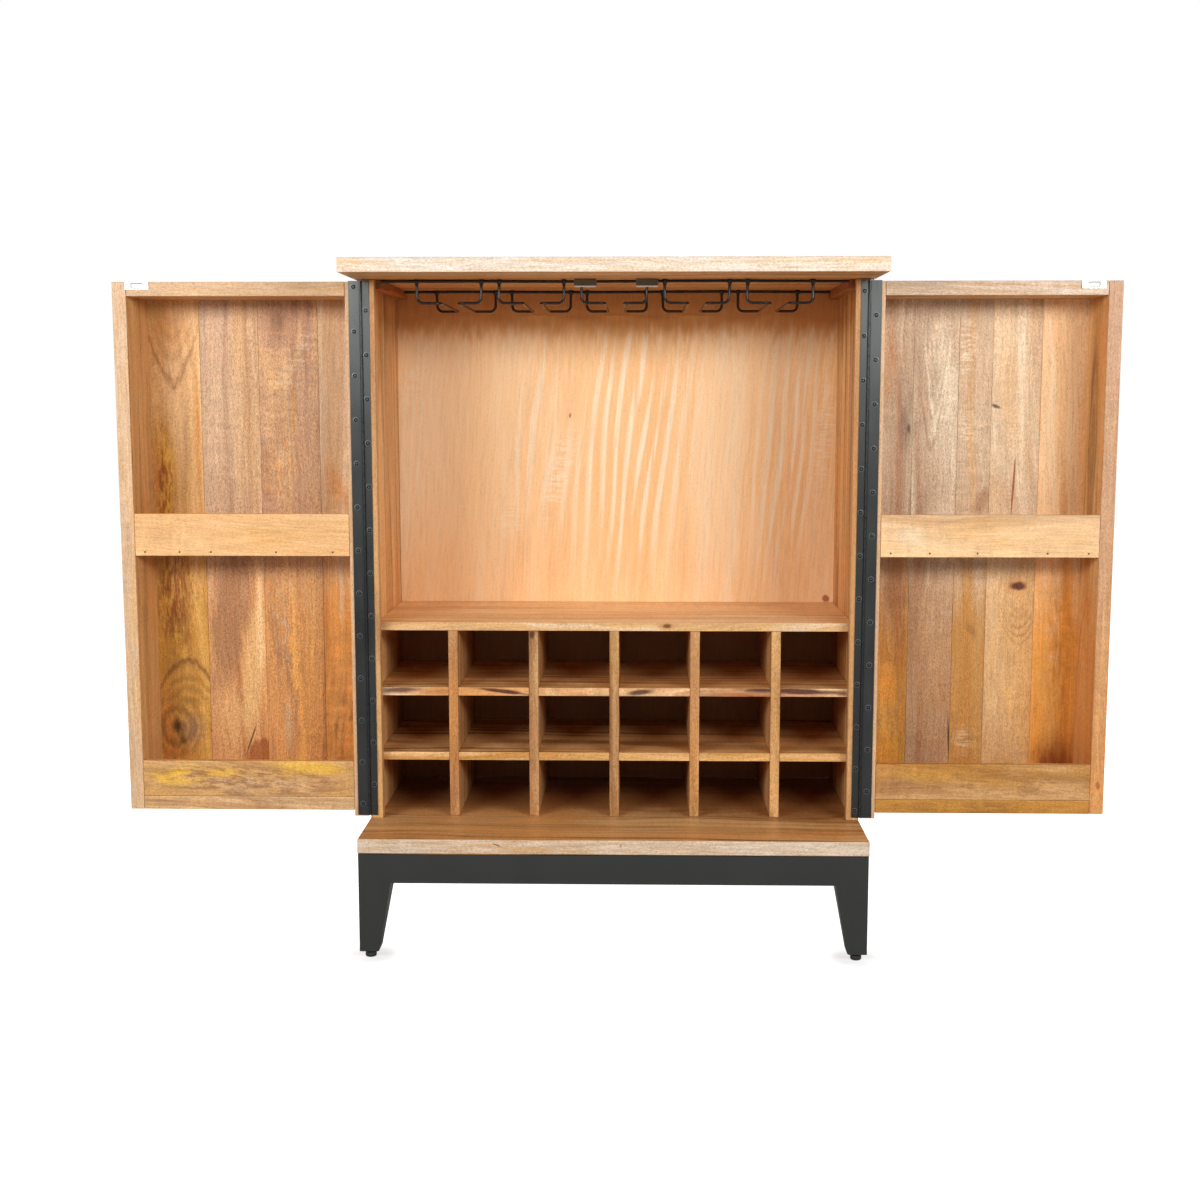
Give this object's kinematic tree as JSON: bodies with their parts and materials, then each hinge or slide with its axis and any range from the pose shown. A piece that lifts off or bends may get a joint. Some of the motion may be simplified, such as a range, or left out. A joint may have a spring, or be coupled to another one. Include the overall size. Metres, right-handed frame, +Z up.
{
  "type": "bar cabinet",
  "caption": "Standing bar cabinet in mango wood with deep shelved doors, a bottle grid, a wire stemware rack and a dark metal base on tapered legs.",
  "frame": {"origin": "on the floor, under the middle of the top board and of the open doors' full width", "axes": "+Z up, +X to the right seen from the front, +Y towards the back; the doors are open 180 degrees at rest"},
  "size_m": [1.57, 0.436, 1.073],
  "materials": {
    "board_pale": "pale limed mango wood, satin",
    "carcass_wood": "reddish brown mango wood, satin",
    "back_wood": "honey mango wood with ribbon figure, satin",
    "grid_wood": "honey mango wood, satin",
    "door_frame_wood": "pale honey mango wood, satin",
    "door_panel_wood": "mixed brown and golden planks, satin",
    "guard_rail_wood": "golden mango wood, satin",
    "base_frame_metal": "charcoal powder coat, satin",
    "foot_plastic": "black, matte",
    "rack_wire": "black lacquered steel wire",
    "hinge_metal": "dark bronzed steel, satin",
    "catch_body": "grey-brown, matte",
    "strike_metal": "bright zinc plate",
    "knob_metal": "black, satin"
  },
  "bodies": {
    "carcass": {"top_board": "board_pale", "base_board": "board_pale", "front_post_left": "board_pale", "front_post_right": "board_pale", "side_panel_left": "carcass_wood", "side_panel_right": "carcass_wood", "top_cleat_left": "carcass_wood", "top_cleat_right": "carcass_wood", "back_panel": "back_wood", "grid_top_shelf": "grid_wood", "grid_shelf_1": "grid_wood", "grid_shelf_2": "grid_wood", "grid_divider_1": "grid_wood", "grid_divider_2": "grid_wood", "grid_divider_3": "grid_wood", "grid_divider_4": "grid_wood", "grid_divider_5": "grid_wood", "apron_front": "base_frame_metal", "apron_rear": "base_frame_metal", "apron_left": "base_frame_metal", "apron_right": "base_frame_metal", "leg_front_left": "base_frame_metal", "leg_front_right": "base_frame_metal", "leg_rear_left": "base_frame_metal", "leg_rear_right": "base_frame_metal", "levelling_foot_front_left": "foot_plastic", "levelling_foot_front_right": "foot_plastic", "levelling_foot_rear_left": "foot_plastic", "levelling_foot_rear_right": "foot_plastic", "stemware_rack": "rack_wire", "hinge_leaf_carcass_left": "hinge_metal", "hinge_leaf_carcass_right": "hinge_metal", "hinge_pin_left": "hinge_metal", "hinge_pin_right": "hinge_metal", "catch_left": "catch_body", "catch_right": "catch_body"},
    "left_door": {"door_left_hinge_stile": "door_frame_wood", "door_left_free_stile": "door_frame_wood", "door_left_top": "door_frame_wood", "door_left_bottom": "door_frame_wood", "door_left_front_panel": "door_panel_wood", "door_left_shelf": "door_panel_wood", "door_left_middle_guard_rail": "guard_rail_wood", "door_left_bottom_guard_rail": "guard_rail_wood", "hinge_leaf_door_left": "hinge_metal", "strike_plate_left": "strike_metal", "door_knob_left": "knob_metal"},
    "right_door": {"door_right_hinge_stile": "door_frame_wood", "door_right_free_stile": "door_frame_wood", "door_right_top": "door_frame_wood", "door_right_bottom": "door_frame_wood", "door_right_front_panel": "door_panel_wood", "door_right_shelf": "door_panel_wood", "door_right_middle_guard_rail": "guard_rail_wood", "door_right_bottom_guard_rail": "guard_rail_wood", "hinge_leaf_door_right": "hinge_metal", "strike_plate_right": "strike_metal", "door_knob_right": "knob_metal"}
  },
  "joints": [
    {"name": "left_door_hinge", "type": "hinge", "parent": "carcass", "child": "left_door", "pos_m": [-0.395, -0.0845, 0.623], "axis": [0, 0, 1], "range_deg": [0, 180]},
    {"name": "right_door_hinge", "type": "hinge", "parent": "carcass", "child": "right_door", "pos_m": [0.395, -0.0845, 0.623], "axis": [0, 0, -1], "range_deg": [0, 180]}
  ]
}
